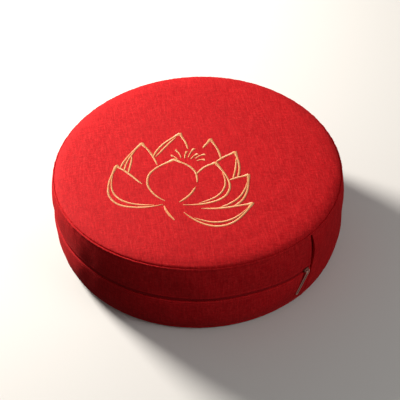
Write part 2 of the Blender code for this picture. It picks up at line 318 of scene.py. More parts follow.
footRadius = coverForm["radius"] - coverForm["footDrawnIn"]
widestFold = max(width for _, width in coverForm["seamWidth"])  # in mm


def rimHeight(turns):
    form = coverForm
    return form["rimHeight"] + form["rimWave"] * np.cos(2 * (turns - form["rimWaveTurn"]))


def zipHeight(turns):
    form = coverForm
    dip, rise = (smoothstep(*form["zipBend"], way) for way in (turns, -turns))
    return form["zipHeight"] - form["zipDip"] * dip + form["zipRise"] * rise


def inZip(turns):
    form = coverForm
    reach = np.pi / 2 - np.abs(turnBetween(form["zipSeam"] - np.pi / 2, turns))
    return smoothstep(*form["zipEnd"], reach)


def bandRadius(turns, height):
    form = coverForm
    rim = rimHeight(turns)
    foot = form["footHeight"]
    swellTop = foot + form["swellShare"] * form["rimHeight"]
    low = np.clip((height - foot) / (swellTop - foot), 0.0, 1.0)
    high = np.clip((height - swellTop) / (rim - swellTop), 0.0, 1.0)
    radius = form["radius"] - form["footDrawnIn"] * (1 - low) ** 2.5 - form["rimDrawnIn"] * high**5
    waist = bell(height - zipHeight(turns), form["waistSpread"])
    return radius - form["waistDepth"] * waist * inZip(turns)


def bandShare(turns, height):
    # 0 at the foot seam and 1 at the rim seam
    foot = coverForm["footHeight"]
    return np.clip((height - foot) / (rimHeight(turns) - foot), 0.0, 1.0)


def fromSeams(turns):
    # For each upright seam: the way round from it, and on which side of it the plain band half is
    for seam, plainSide in ((coverForm["zipSeam"], 1), (coverForm["backSeam"], -1)):
        yield turnBetween(turns, seam) * coverForm["radius"], plainSide


def seamFolds(turns, height):
    # For each upright seam: how deep its fold is, how far the cloth beside it stands out, and its plain side
    form = coverForm
    share = bandShare(turns, height)
    depth = throughPoints(form["seamDepth"], share) * mm
    wide = widestFold * mm / 2
    swell = np.sin(np.pi * share)
    lip, lipAway, lipSpread = form["seamLip"]
    dip, dipAway, dipSpread = form["seamDip"]
    folds = []
    for away, plainSide in fromSeams(turns):
        away = away * plainSide
        near = smoothstep(*(edge - wide for edge in form["nearEdge"]), away)
        far = smoothstep(*(edge - wide for edge in form["farEdge"]), -away)
        ridge = lip * bell(away + wide + lipAway, lipSpread) * (0.3 + 0.7 * swell)
        hollow = dip * bell(away - wide - dipAway, dipSpread) * swell
        folds.append((depth * near * far, ridge - hollow, plainSide))
    return folds


def creasePull(turns, height):
    return sum(fold - ridge for fold, ridge, _ in seamFolds(turns, height))


def seamSway(turns, share):
    # How far the cloth is moved round at a share of the band's height. The folds follow the bowed seams and
    # narrow towards their ends, with the mesh's columns along them.
    form = coverForm
    bow = np.radians(throughPoints(form["seamBow"], share)) * form["radius"]
    slim = 1 - throughPoints(form["seamWidth"], share) / widestFold
    sway = 0.0
    for away, plainSide in fromSeams(turns):
        sway = sway + bow * plainSide * bell(away, form["seamSwayReach"])
        sway = sway - away * slim * bell(away, form["seamSlimReach"])
    return sway


def columnTurns(count):
    # Even columns, closer together across the two upright seams
    fine = np.linspace(-np.pi, np.pi, 40001)
    density = np.ones_like(fine)
    for away, _ in fromSeams(fine):
        density = density + coverForm["columnsMore"] * bell(away, coverForm["columnsReach"])
    total = np.concatenate([[0], np.cumsum((density[1:] + density[:-1]) / 2)])
    return np.interp(np.arange(count) / count, total / total[-1], fine)


def crownRise(inwards):
    # The height over the rim seam, a way in from it: the turned lip, a slope that eases off, and a low dome
    form = coverForm
    lip = form["lipHeight"] * (1 - np.exp(-inwards / form["lipReach"]))
    edge = form["edgeSlope"] * form["edgeReach"] * (1 - np.exp(-inwards / form["edgeReach"]))
    return lip + edge + form["domeHeight"] * (1 - (1 - inwards / rimRadius) ** 2)


def crownPoint(turns, share):
    # share runs 0 to 1 along the top panel's section, from the rim seam to the middle. Also gives its length
    inwards = np.linspace(0, rimRadius, 1001)
    along = np.concatenate([[0], np.cumsum(np.hypot(np.diff(inwards), np.diff(crownRise(inwards))))])
    inwards = np.interp(share, along / along[-1], inwards)
    seamHeight = coverForm["rimHeight"]
    wave = (rimHeight(turns) - seamHeight) * (1 - inwards / rimRadius) ** 2
    return rimRadius - inwards + 0 * turns, seamHeight + wave + crownRise(inwards), along[-1]


# Local sections of the seams and of the zip's opening. The rim: (out, up) from the seam, in mm
rimSection = (
    (0.56, -1.60), (0.70, -0.95), (0.62, -0.35), (0.32, 0.22), (-0.18, 0.56), (-0.80, 0.58),
    (-1.34, 0.22), (-1.75, -0.42), (-2.02, -0.30), (-2.08, 0.20), (-2.12, 0.70), (-2.20, 1.25),
)
rimBandCount = 8  # of these, the ones that are on the band
# More rows of the top panel, in mm from its seam
edgeRows = (2.35, 2.9, 3.6, 4.6)
footSection = (
    (-0.55, -2.0), (-0.30, -1.2), (-0.62, -0.5), (-1.45, -0.05), (-0.55, 0.45), (0.18, 0.95), (0.30, 1.6),
)
footBottomCount = 4  # of these, the ones that are on the bottom
# The zip's opening: (height from its middle, depth under the band) in mm, mirrored for the lower half
lipSection = (
    (9.5, 0), (8, 0.02), (7, 0.14), (6.4, 0.26), (5.8, 0.14), (5.2, 0), (4.6, -0.06), (4.1, -0.02),
    (3.72, 0.1), (3.45, 0.45), (3.28, 0.9), (3.16, 1.5), (3.06, 2.3), (3, 3.2), (1.5, 3.25), (0, 3.25),
)
# The mesh's rows. Level 0 has all columns, level 1 every second, level 2 every fourth, and so on
bottomRings = ((4, (12, 26)), (3, (42, 60, 80)), (2, (102, 124, 144)), (1, (162, 178, 188, 195)))  # in mm
footCurve = (15, 30, 43, 54)  # degrees along the curve from the flat round to the foot seam
footGap = (0.0003, 0.001)  # where that curve would end, in and down from the seam
bandRows = (20, 16)  # under and over the zip's opening
bandMargins = (0.0026, 0.0022)  # left to the sections of the foot and rim seams
# Level, way from the rim seam and steps in mm, and the number of steps
crownSteps = (
    (0, 6.4, 1.9, 2), (1, 10.2, 2.3, 22), (1, 63, 3.4, 10),
    (2, 98, 4.2, 11), (3, 145, 5, 7), (4, 181, 6, 40),
)
crownEnd = 0.985  # share of the crown's section where its rows stop


def wavy(turns, along, seed, count, shortest, longest):
    # A sum of gentle waves round the cushion, -1 to 1 or so. The waves close on themselves
    dice = np.random.default_rng(seed)
    total = 0.0
    for _ in range(count):
        waves = round(2 * np.pi * coverForm["radius"] / dice.uniform(shortest, longest))
        lean = dice.uniform(-1, 1) / dice.uniform(shortest, longest)
        total = total + np.sin(waves * turns + 2 * np.pi * (lean * along + dice.random()))
    return total / math.sqrt(count)


def coverRows(turns):
    # From the middle of the bottom to the middle of the top
    form = coverForm
    ones = np.ones_like(turns)
    rows = []

    def add(part, level, radius, height, share=0.0, creased=False):
        row = {"part": part, "level": level, "radius": radius * ones, "height": height * ones}
        rows.append({**row, "share": share * ones, "creased": creased})

    def addBand(height, level=1, sunk=0.0):
        radius = bandRadius(turns, height) - creasePull(turns, height) - sunk
        add("band", level, radius, height, creased=True)

    for level, radii in bottomRings:
        for radius in radii:
            add("bottom", level, radius * mm, 0.0)
    reach = footRadius - footGap[0] - form["flatRadius"]
    rise = form["footHeight"] - footGap[1]
    for angle in np.radians(footCurve):
        add("bottom", 1, form["flatRadius"] + reach * math.sin(angle), rise * (1 - math.cos(angle)))
    for index, (out, up) in enumerate(footSection):
        part = "bottom" if index < footBottomCount else "band"
        add(part, 1, footRadius + out * mm, form["footHeight"] + up * mm)

    middle = zipHeight(turns)
    start = form["footHeight"] + bandMargins[0]
    edge = lipSection[0][0] * mm
    for share in np.linspace(0, 1, bandRows[0])[:-1]:
        addBand(start + (middle - edge - start) * share)
    for away, deep in [(-away, deep) for away, deep in lipSection] + list(lipSection[-2::-1]):
        addBand(middle + away * mm, sunk=deep * mm * inZip(turns))
    rim = rimHeight(turns)
    end = rim - bandMargins[1]
    for share in np.linspace(0, 1, bandRows[1])[1:]:
        addBand(middle + edge + (end - middle - edge) * share, 0 if share > 0.99 else 1)
    for index, (out, up) in enumerate(rimSection):
        add("band" if index < rimBandCount else "top", 0, rimRadius + out * mm, rim + up * mm)
    for inwards in edgeRows:
        add("top", 0, rimRadius - inwards * mm, rim + crownRise(inwards * mm))

    crownLength = crownPoint(turns[:1], 0.0)[2]
    for level, first, step, count in crownSteps:
        for index in range(count):
            share = (first * mm + step * mm * index) / crownLength
            if share < crownEnd:
                radius, height, _ = crownPoint(turns, share)
                add("top", level, radius, height, share)
    return rows


# The filling: a coarse copy of the cover is blown up as cloth, and the fine cover takes its swell

fillForm = {
    "columns": 128,
    "bandRows": 18,
    "crownRows": 26,
    "innerRadius": 0.10,  # of the ring on the underside
    "slackBand": 0.0035,  # how far in the cloth starts, between its seams
    "slackCrown": 0.0050,
    "lumps": 0.0006,
    "lumpWaves": (5, 14, 0.05, 0.20),  # seed, how many, shortest and longest
    "lumpLean": 0.21,
    "sewnReach": 0.009,  # how far from the zip and the upright seams the cloth is held
    "frames": 20,
    "mostMove": 0.012,
    "evenOut": 0.95,  # the share of the average swell that is taken in again, to the measured section
    "shortestWave": 0.060,
    "crownShare": 0.45,  # how much of the crown's folds stays
}
clothSettings = {
    "quality": 6,
    "mass": 0.3,
    "tension_stiffness": 18,
    "compression_stiffness": 18,
    "shear_stiffness": 8,
    "bending_stiffness": 1.5,
    "use_pressure": True,
    "uniform_pressure_force": 4.0,
    "vertex_group_mass": "sewn",
}


def coarseSection(turns):
    # Rows of radius, height and share: -1 on the underside, 0 to 1 up the band and 1 to 2 over the crown
    form, fill = coverForm, fillForm
    ones = np.ones_like(turns)
    rows = [(radius * ones, 0 * ones, -1.0) for radius in (fill["innerRadius"], form["flatRadius"])]
    for step in range(fill["bandRows"] + 1):
        share = step / fill["bandRows"]
        height = form["footHeight"] + (rimHeight(turns) - form["footHeight"]) * share
        rows.append((bandRadius(turns, height), height, share))
    for step in range(1, fill["crownRows"]):
        share = step / fill["crownRows"]
        rows.append((*crownPoint(turns, share)[:2], 1 + share))
    return rows


def heldShares(turns, height, shares):
    # How firmly the cloth is held: fully on the underside and at the rim seam, less away from zip and seams
    reach = fillForm["sewnReach"]
    shares = shares[:, None]
    near = bell(height - zipHeight(turns), reach) * inZip(turns)
    for away, _ in fromSeams(turns):
        near = np.maximum(near, bell(away, reach))
    fully = (shares <= 0) | (np.abs(shares - 1) < 1e-6)
    return np.maximum(np.where(fully, 1.0, 0.0), np.where((shares >= 0) & (shares <= 1), near, 0.0))


def blowUp(start, middle, held):
    # start is the places of the coarse rows, and middle the height of the crown's middle
    rowCount, count = start.shape[:2]
    points = np.concatenate([start.reshape(-1, 3), [(0, 0, 0), (0, 0, middle)]])
    faces = []
    for row in range(rowCount - 1):
        for column in range(count):
            after = (column + 1) % count
            first, second = row * count, (row + 1) * count
            faces.append((first + column, first + after, second + after, second + column))
    last = (rowCount - 1) * count
    for column in range(count):
        after = (column + 1) % count
        faces.append((after, column, len(points) - 2))
        faces.append((last + column, last + after, len(points) - 1))
    coarse = linked("coarseCover", meshOf("coarseCover", points.tolist(), faces=faces))
    sewn = coarse.vertex_groups.new(name="sewn")
    for index, weight in enumerate(held.ravel()):
        if weight > 0.02:
            sewn.add([index], float(weight), "REPLACE")
    sewn.add([len(points) - 2], 1.0, "REPLACE")

    cloth = coarse.modifiers.new("filling", "CLOTH")
    for setting, value in clothSettings.items():
        setattr(cloth.settings, setting, value)
    cloth.settings.effector_weights.gravity = 0
    cloth.collision_settings.use_collision = False
    cloth.collision_settings.use_self_collision = False
    for moment in range(1, fillForm["frames"] + 1):
        bpy.context.scene.frame_set(moment)
    swollen = coarse.evaluated_get(bpy.context.evaluated_depsgraph_get())
    after = np.zeros(len(points) * 3, np.float32)
    swollen.data.vertices.foreach_get("co", after)
    bpy.context.scene.frame_set(1)
    bpy.data.objects.remove(coarse)
    return after[: start.size].reshape(start.shape).astype(float)


def swellOfFilling():
    # Returns the coarse turns, the rows' shares, and their moves: out, along and up
    fill = fillForm
    turns = -np.pi + 2 * np.pi * np.arange(fill["columns"]) / fill["columns"]
    radius, height, shares = (np.array(values) for values in zip(*coarseSection(turns)))
    onBand = np.where((shares >= 0) & (shares <= 1), np.sin(np.pi * np.clip(shares, 0, 1)), 0.0)[:, None]
    onCrown = np.where(shares > 1, np.sin(np.pi / 2 * np.clip(shares - 1, 0, 1)) ** 0.6, 0.0)[:, None]
    lumps = np.array([wavy(turns, fill["lumpLean"] * share, *fill["lumpWaves"]) for share in shares])
    start = placed(
        turns[None, :],
        radius - fill["slackBand"] * onBand + fill["lumps"] * lumps * onBand,
        height - fill["slackCrown"] * onCrown + fill["lumps"] * lumps * onCrown,
    )
    middle = crownPoint(turns[:1], 1.0)[1][0] - fill["slackCrown"]
    moved = blowUp(start, middle, heldShares(turns, height, shares)) - start
    length = np.linalg.norm(moved, axis=-1, keepdims=True)
    print("swell", (length.max() / mm).round(2), "mm at most,", (length.mean() / mm).round(2), "on average")
    after = start + moved * np.minimum(1.0, fill["mostMove"] / np.maximum(length, 1e-9))
    off = after - placed(turns[None, :], radius, height)
    out = off[..., 0] * np.sin(turns) - off[..., 1] * np.cos(turns)
    side = off[..., 0] * np.cos(turns) + off[..., 1] * np.sin(turns)
    swell = np.stack([out, side, off[..., 2]], axis=-1)
    swell = swell - fill["evenOut"] * swell.mean(axis=1, keepdims=True)

    # Only waves longer than the shortest one stay, so the folds fade out towards the middle of the crown
    waves = np.fft.rfft(swell, axis=1)
    most = 2 * np.pi * radius.mean(axis=1)[:, None, None] / fill["shortestWave"]
    number = np.arange(waves.shape[1])[None, :, None]
    swell = np.fft.irfft(waves * np.exp(-((number / most) ** 4)), len(turns), axis=1)
    swell = swell * np.where(shares > 1, fill["crownShare"], 1.0)[:, None, None]
    return turns, shares[2:], swell[2:]


def softCurve(before, first, second, after, part):
    # A smooth way from first to second that heeds the values before and after them
    rise = second - before
    bend = 2 * before - 5 * first + 4 * second - after
    return first + 0.5 * part * (rise + part * (bend + part * (3 * (first - second) + after - before)))


def swellRows(swell, turns, rows):
    # The coarse swell at each fine row and column
    coarseTurns, shares, moves = swell
    shifts = (-1, 0, 1, 2)
    moves = np.moveaxis(moves, 1, 0)  # columns, coarse rows, 3
    spot = (turns - coarseTurns[0]) / (coarseTurns[1] - coarseTurns[0])
    low = np.floor(spot).astype(int)
    part = np.clip(spot - low, 0, 1)[:, None, None]
    byColumn = softCurve(*(moves[(low + shift) % len(coarseTurns)] for shift in shifts), part)
    columns = np.arange(len(turns))
    for row in rows:
        if row["part"] == "bottom":
            row["move"] = np.zeros((len(turns), 3))
            continue
        place = bandShare(turns, row["height"])
        if row["part"] == "top":
            place = np.clip(1 + row["share"], 1, shares[-1])
        low = np.clip(np.searchsorted(shares, place, side="right") - 1, 0, len(shares) - 2)
        part = ((place - shares[low]) / (shares[low + 1] - shares[low]))[:, None]
        picks = [np.clip(low + shift, 0, len(shares) - 1) for shift in shifts]
        row["move"] = softCurve(*(byColumn[columns, pick] for pick in picks), part)


# Creases and puckers, as soft troughs and ridges in the rows

creaseForm = {
    "bandDents": 0.00055,
    "crownDents": 0.00035,
    "rimPuckers": 0.00022,
    "rimGathers": 0.00018,
    # For each: how many waves, the shortest and the longest, after their seed
    "bandWaves": (21, 26, 0.035, 0.13),
    "crownWaves": (41, 18, 0.10, 0.40),
    "crownLean": 1.4,
    "gatherWaves": (43, 20, 0.0042, 0.0075),
    "puckerWaves": (22, 0.010, 0.030),
    "puckerSeeds": (31, 33),  # at the rim and at the foot
    "calm": 0.85,  # the share of the dents that the zip takes away beside it
    "calmReach": 0.009,
    "footSwayReach": 0.020,  # how far onto the panels the bow of the upright seams goes
    "rimSwayReach": 0.014,
    "bandPuckerReach": 0.009,
    "topPuckerReach": 0.010,
    "gatherReach": 0.0025,
}


def puckerRows(turns, rows):
    form, look = coverForm, creaseForm
    waves = [wavy(turns, 0.0, seed, *look["puckerWaves"]) for seed in look["puckerSeeds"]]
    puckers = [look["rimPuckers"] * wave for wave in waves]
    gathers = look["rimGathers"] * wavy(turns, 0.0, *look["gatherWaves"])
    for row in rows:
        height = row["height"]
        fromRim = height - rimHeight(turns)
        share = bandShare(turns, height)
        inwards = form["radius"] - row["radius"]
        out = up = np.zeros_like(turns)
        if row["part"] == "bottom":
            side = seamSway(turns, 0 * turns) * bell(inwards, look["footSwayReach"])
        elif row["part"] == "top":
            side = seamSway(turns, 0 * turns + 1) * bell(inwards, look["rimSwayReach"])
            dents = look["crownDents"] * wavy(turns, look["crownLean"] * row["share"], *look["crownWaves"])
            up = dents * np.clip(row["share"] * 6, 0, 1) * (1 - row["share"])
            out = puckers[0] * np.exp(-fromRim / look["topPuckerReach"])
        else:
            side = seamSway(turns, share)
            for fold, _, plainSide in seamFolds(turns, height):
                side = side + form["seamUnder"] * fold * plainSide * row["creased"]
            calm = 1 - look["calm"] * bell(height - zipHeight(turns), look["calmReach"]) * inZip(turns)
            dents = look["bandDents"] * wavy(turns, height, *look["bandWaves"])
            out = dents * np.sin(np.pi * share) ** 0.5 * calm
            for pucker, away in zip(puckers, (-fromRim, height - form["footHeight"])):
                out = out + pucker * np.exp(-away / look["bandPuckerReach"])
        if row["level"] == 0:
            out = out + gathers * np.exp(-np.abs(fromRim) / look["gatherReach"])
        row["move"] = row["move"] + np.stack([out, side, up], axis=-1)


def meshFromRows(name, turns, rows):
    form = coverForm
    count = len(turns)
    outward = placed(turns, 1.0, 0.0)
    sideward = np.stack([np.cos(turns), np.sin(turns), 0 * turns], axis=-1)
    steps = [2 ** row["level"] for row in rows]
    places, points, starts, total = [], [], [], 0
    for row, step in zip(rows, steps):
        move = row["move"]
        place = placed(turns, row["radius"], row["height"]) + outward * move[:, :1] + sideward * move[:, 1:2]
        place[:, 2] += move[:, 2]
        places.append(place)
        points.append(place[::step])
        starts.append(total)
        total += count // step
    middle = places[-1][:, 2].mean() + form["middleRise"]
    points = np.concatenate(points + [[(0, 0, 0), (0, 0, middle)]])

    lengths = np.linalg.norm(np.diff(places, axis=0), axis=-1)
    fromBottom = np.concatenate([rows[0]["radius"][None, :], rows[0]["radius"] + np.cumsum(lengths, axis=0)])
    fromTop = fromBottom[-1] - fromBottom + rows[-1]["radius"][0]
    footRow = next(index for index, row in enumerate(rows) if row["part"] == "band")
    upBand = fromBottom - fromBottom[footRow]

    faces, corners = [], []  # a corner is (row, column), with row -1 and -2 for the two middles

    def face(*around):
        corners.append(around)
        faces.append([
            total - 1 - row if row < 0 else starts[row] + column % count // steps[row]
            for row, column in around
        ])

    for under, (fineUnder, fineOver) in enumerate(zip(steps, steps[1:])):
        over = under + 1
        wide = max(fineUnder, fineOver)
        for column in range(0, count, wide):
            half, end = column + wide // 2, column + wide
            if fineUnder == fineOver:
                face((under, column), (under, end), (over, end), (over, column))
            elif fineUnder < fineOver:
                face((under, column), (under, half), (over, column))
                face((under, half), (over, end), (over, column))
                face((under, half), (under, end), (over, end))
            else:
                face((under, column), (over, half), (over, column))
                face((under, column), (under, end), (over, half))
                face((under, end), (over, end), (over, half))
    for column in range(0, count, steps[0]):
        face((0, column + steps[0]), (0, column), (-1, column))
    last = len(rows) - 1
    for column in range(0, count, steps[last]):
        face((last, column), (last, column + steps[last]), (-2, column))

    mesh = meshOf(name, points.tolist(), faces=faces)
    mesh.shade_smooth()

    # The weave's own coordinates, in metres: flat on the panels, round and up on the band
    around = np.append(turns, turns[0] + 2 * np.pi)
    plain = inZip(turns) < 0.5
    panels = {"top": (0, form["weaveTurn"], fromTop), "bottom": (form["weaveApart"], 0, fromBottom)}
    uv = []
    for corner in corners:
        part = rows[max(row for row, _ in corner)]["part"]
        shift = form["weaveShift"] if plain[min(column for _, column in corner) % count] else 0.0
        for row, column in corner:
            turn = around[column]
            if part == "band":
                up = upBand[row, column % count]
                uv.append((turn * form["radius"] + shift, 2 * form["weaveApart"] + up))
            else:
                start, turned, distances = panels[part]
                distance = 0.0 if row < 0 else distances[row, column % count]
                uv.append((start + distance * math.sin(turn + turned), -distance * math.cos(turn + turned)))
    mesh.uv_layers.new(name="weave").data.foreach_set("uv", np.array(uv, np.float32).ravel())
    mesh.validate()
    return mesh


def makeCover(finish):
    turns = columnTurns(coverForm["columns"])
    rows = coverRows(turns)
    swellRows(swellOfFilling(), turns, rows)
    puckerRows(turns, rows)
    return addPiece("coverCloth", meshFromRows("coverCloth", turns, rows), finish)


# Stitches: one node tree lays threads along any path, side by side across it or end to end along it

stitchInputs = ("Path", "Spacing", "Thickness", "Height", "Slant", "Unevenness", "Seed", "Finish")
stitchKinds = {"Path": "Geometry", "Seed": "Int", "Finish": "Material"}  # the others are numbers
# One thread, 2 long and 1 thick, arched and with its ends sunk
threadArch = {"Resolution": 4, "Start": (-1, 0, -0.45), "Middle": (0, 0, 1.45), "End": (1, 0, -0.45)}
threadSection = {"Resolution": 5, "Radius": 0.5}


def makeStitchTree():
    tree = bpy.data.node_groups.new("stitchesAlongPath", "GeometryNodeTree")
    names = {}
    for name in stitchInputs:
        kind = "NodeSocket" + stitchKinds.get(name, "Float")
        names[name] = tree.interface.new_socket(name=name, in_out="INPUT", socket_type=kind).identifier
    tree.interface.new_socket(name="Stitches", in_out="OUTPUT", socket_type="NodeSocketGeometry")
    given = addNode(tree, "NodeGroupInput").outputs
    plus, minus, times = sumsOf(tree)

    def made(kind, inputs=None, **settings):
        return addNode(tree, kind, settings, inputs).outputs[0]

    def uneven(spread, shift):
        swing = times(given["Unevenness"], spread)
        inputs = {2: minus(1.0, swing), 3: plus(1.0, swing), "Seed": plus(given["Seed"], shift)}
        return addNode(tree, "FunctionNodeRandomValue", {"data_type": "FLOAT"}, inputs).outputs[1]

    line = made("GeometryNodeMeshToCurve", {"Mesh": given["Path"]})
    dots = made("GeometryNodeResampleCurve", {"Curve": line, "Length": given["Spacing"]}, mode="LENGTH")
    facing = made("GeometryNodeInputNamedAttribute", {"Name": "facing"}, data_type="FLOAT_VECTOR")
    reach = made("GeometryNodeInputNamedAttribute", {"Name": "halfWidth"}, data_type="FLOAT")
    tangent = made("GeometryNodeInputTangent")
    across = vectorCalc(tree, "CROSS_PRODUCT", tangent, facing)
    slant = plus(given["Slant"], minus(uneven(0.5, 1), 1.0))
    straight = vectorCalc(tree, "SCALE", across, calc(tree, "COSINE", slant))
    leaning = vectorCalc(tree, "SCALE", tangent, calc(tree, "SINE", slant))
    heading = vectorCalc(tree, "ADD", straight, leaning)
    axes = {"Primary Axis": facing, "Secondary Axis": heading}
    turned = made("FunctionNodeAxesToRotation", axes, primary_axis="Z", secondary_axis="X")
    size = made("ShaderNodeCombineXYZ", {
        0: times(reach, uneven(1.0, 2)),
        1: given["Thickness"],
        2: times(given["Height"], uneven(1.0, 3)),
    })
    arch = made("GeometryNodeCurveQuadraticBezier", threadArch)
    section = made("GeometryNodeCurvePrimitiveCircle", threadSection)
    thread = made("GeometryNodeCurveToMesh", {"Curve": arch, "Profile Curve": section, "Fill Caps": True})
    placing = {"Points": dots, "Instance": thread, "Rotation": turned, "Scale": size}
    threads = made("GeometryNodeInstanceOnPoints", placing)
    tones = {"Geometry": threads, "Name": "tone", "Value": uneven(1.0, 4)}
    toned = made("GeometryNodeStoreNamedAttribute", tones, data_type="FLOAT", domain="INSTANCE")
    whole = made("GeometryNodeRealizeInstances", {0: toned})
    smooth = made("GeometryNodeSetShadeSmooth", {0: whole})
    dressed = made("GeometryNodeSetMaterial", {"Geometry": smooth, "Material": given["Finish"]})
    addNode(tree, "NodeGroupOutput", {}, {0: dressed})
    return tree, names


def surfaceOf(piece):
    points = [vertex.co.copy() for vertex in piece.data.vertices]
    return BVHTree.FromPolygons(points, [list(face.vertices) for face in piece.data.polygons])


# Where the rays start, clear of the cushion
castHeight = 0.5
castReach = 0.3


def castDown(surface, x, y):
    return surface.ray_cast(Vector((x, y, castHeight)), Vector((0, 0, -1)))[:2]


def castIn(surface, turn, height):
    # From outside, level, towards the middle of the cushion
    outward = outwardAt(turn)
    return surface.ray_cast(outward * castReach + Vector((0, 0, height)), -outward)[:2]


def sewAlong(name, stitchTree, paths, finish, values):
    # Each path is a list of (place, normal, half width)
    tree, names = stitchTree
    edges, start = [], 0
    for path in paths:
        edges += [(start + index, start + index + 1) for index in range(len(path) - 1)]
        start += len(path)
    points, normals, halves = zip(*(spot for path in paths for spot in path))
    mesh = meshOf(name, points, edges)
    facing = mesh.attributes.new("facing", "FLOAT_VECTOR", "POINT")
    facing.data.foreach_set("vector", [value for normal in normals for value in normal])
    mesh.attributes.new("halfWidth", "FLOAT", "POINT").data.foreach_set("value", halves)
    piece = linked(name, mesh)
    sewing = piece.modifiers.new("stitches", "NODES")
    sewing.node_group = tree
    for label, value in {**values, "Finish": finish}.items():
        sewing[names[label]] = value
    applied(piece, sewing, preserve_all_data_layers=True)
    return piece


# The lotus in gold satin stitch. It is drawn by rule: every petal grows from one point at the flower's base

lotusForm = {
    "base": (-0.034, -0.092),
    "lean": 7,  # degrees clockwise
    "scale": 0.94,
    "lineWidth": 0.0027,
    "tipWidth": 0.0050,
    "tipReach": 7,  # mm
    "gap": 1.5,  # mm that a line stops short of a petal in front of it
    "stamenFoot": (7, 84),  # mm
    "frontPiece": ("front", "frontRight", "low", "leftOuter"),  # the petals that are in the front piece
}
goldStitches = {
    "Spacing": 0.00050,
    "Thickness": 0.00058,
    "Height": 0.00075,
    "Slant": math.radians(24),
    "Unevenness": 0.12,
    "Seed": 7,
}
# From front to back: foot across and up in mm, lean in degrees clockwise, length and width in mm, bow to the
# right and how far the tip hooks over, both as shares of the length
lotusPetals = {
    "front": (2, 2, -9, 100, 74, -0.02, 0.03),
    "frontRight": (6, 2, 27, 108, 60, 0.17, -0.03),
    "low": (10, -6, 84, 106, 36, 0.17, -0.12),
    "leftOuter": (-8, 4, -55, 118, 54, -0.17, 0.12),
    "rightOuter": (10, 2, 56, 120, 50, 0.12, -0.09),
    "leftInner": (-2, 6, -31, 144, 62, -0.13, 0.09),
    "rightInner": (6, 8, 35, 140, 50, 0.08, -0.06),
    "podRight": (4, 8, 17, 149, 42, 0.07, -0.06),
    "back": (2, 8, -7, 155, 56, -0.05, 0.05),
}
# The half width of every petal along its length, as shares
petalSection = (
    (0, 0), (0.12, 0.44), (0.34, 0.88), (0.56, 1), (0.76, 0.83), (0.88, 0.5), (0.95, 0.2), (1, 0),
)
# Petal, side (-1 left, 1 right), from, to, and how far inside its edge in mm
lotusStrokes = (
    ("front", -1, 0.10, 1, 0), ("front", 1, 0.46, 1, 0), ("front", 1, 0.05, 0.36, 0),
    ("frontRight", 1, 0.04, 1, 0), ("frontRight", -1, 0.60, 1, 0), ("frontRight", 1, 0.18, 0.88, 9),
    ("low", 1, 0.06, 1, 0), ("low", -1, 0.30, 1, 0), ("low", 1, 0.20, 0.93, 8),
    ("leftOuter", -1, 0.04, 1, 0), ("leftOuter", 1, 0.50, 1, 0), ("leftOuter", -1, 0.12, 0.90, 9.5),
    ("rightOuter", 1, 0.20, 1, 0), ("rightOuter", -1, 0.40, 1, 0), ("rightOuter", 1, 0.34, 0.92, 8),
    ("leftInner", -1, 0.20, 1, 0), ("leftInner", 1, 0.60, 1, 0), ("leftInner", -1, 0.40, 0.92, 8.5),
    ("leftInner", -1, 0.56, 0.86, 17),
    ("rightInner", 1, 0.40, 1, 0), ("rightInner", -1, 0.60, 1, 0), ("rightInner", 1, 0.60, 0.92, 7.5),
    ("podRight", 1, 0.60, 1, 0), ("podRight", -1, 0.84, 1, 0),
    ("back", -1, 0.50, 1, 0), ("back", 1, 0.76, 1, 0), ("back", -1, 0.66, 0.94, 8.5),
)
# Lean in degrees clockwise, from and to in mm from their foot, and how far the end hooks over in mm
lotusStamens = (
    (-36, 22, 35, -4), (-20, 24, 43, -4), (-6, 22, 37, 3), (7, 24, 45, 4), (20, 22, 36, 4), (33, 26, 42, 5),
    (46, 24, 34, 5),
)
# Across and up in mm
lotusStem = ((-13, -2), (-9, -11), (-3, -20), (5, -29))


def headings(lean):
    # The ways to the right and forwards, after a lean in degrees clockwise
    turn = math.radians(lean)
    return np.array([(math.cos(turn), -math.sin(turn)), (math.sin(turn), math.cos(turn))])


def petalSide(petal, side, share, inside=0.0):
    # Places in mm on one edge of a petal, at shares of its length
    across, up, lean, length, width, bow, hook = lotusPetals[petal]
    section = np.maximum(throughPoints(petalSection, share), 0)
    sideward, forward = headings(lean)
    drift = bow * length * np.sin(np.pi * share) + hook * length * share**6
    edge = np.maximum(width / 2 * section - inside, -width / 10 * section)
    places = np.array([across, up]) + np.outer(length * share, forward)
    return places + np.outer(drift + side * edge, sideward)


def inOutline(points, outline):
    x, y = points[:, :1], points[:, 1:]
    x0, y0 = outline[:, 0][None], outline[:, 1][None]
    x1, y1 = np.roll(x0, -1, axis=1), np.roll(y0, -1, axis=1)
    crosses = (y0 > y) != (y1 > y)
    at = x0 + (y - y0) * (x1 - x0) / np.where(np.abs(y1 - y0) < 1e-12, 1e-12, y1 - y0)
    return (crosses & (x < at)).sum(axis=1) % 2 == 1


def beyondPetals(places, fronts):
    # Which places show past the petals in front
    seen = np.ones(len(places), bool)
    share = np.linspace(0, 1, 90)
    for front in fronts:
        outline = np.concatenate([petalSide(front, -1, share), petalSide(front, 1, share)[::-1]])
        away = outline - outline.mean(axis=0)
        gap = lotusForm["gap"] / np.linalg.norm(away, axis=1)[:, None]
        seen &= ~inOutline(places, outline + away * gap)
    return seen


def shownStretches(seen):
    edges = np.flatnonzero(np.diff(np.concatenate([[0], seen.astype(int), [0]])))
    return [(begin, end) for begin, end in zip(edges[::2], edges[1::2]) if end - begin > 6]


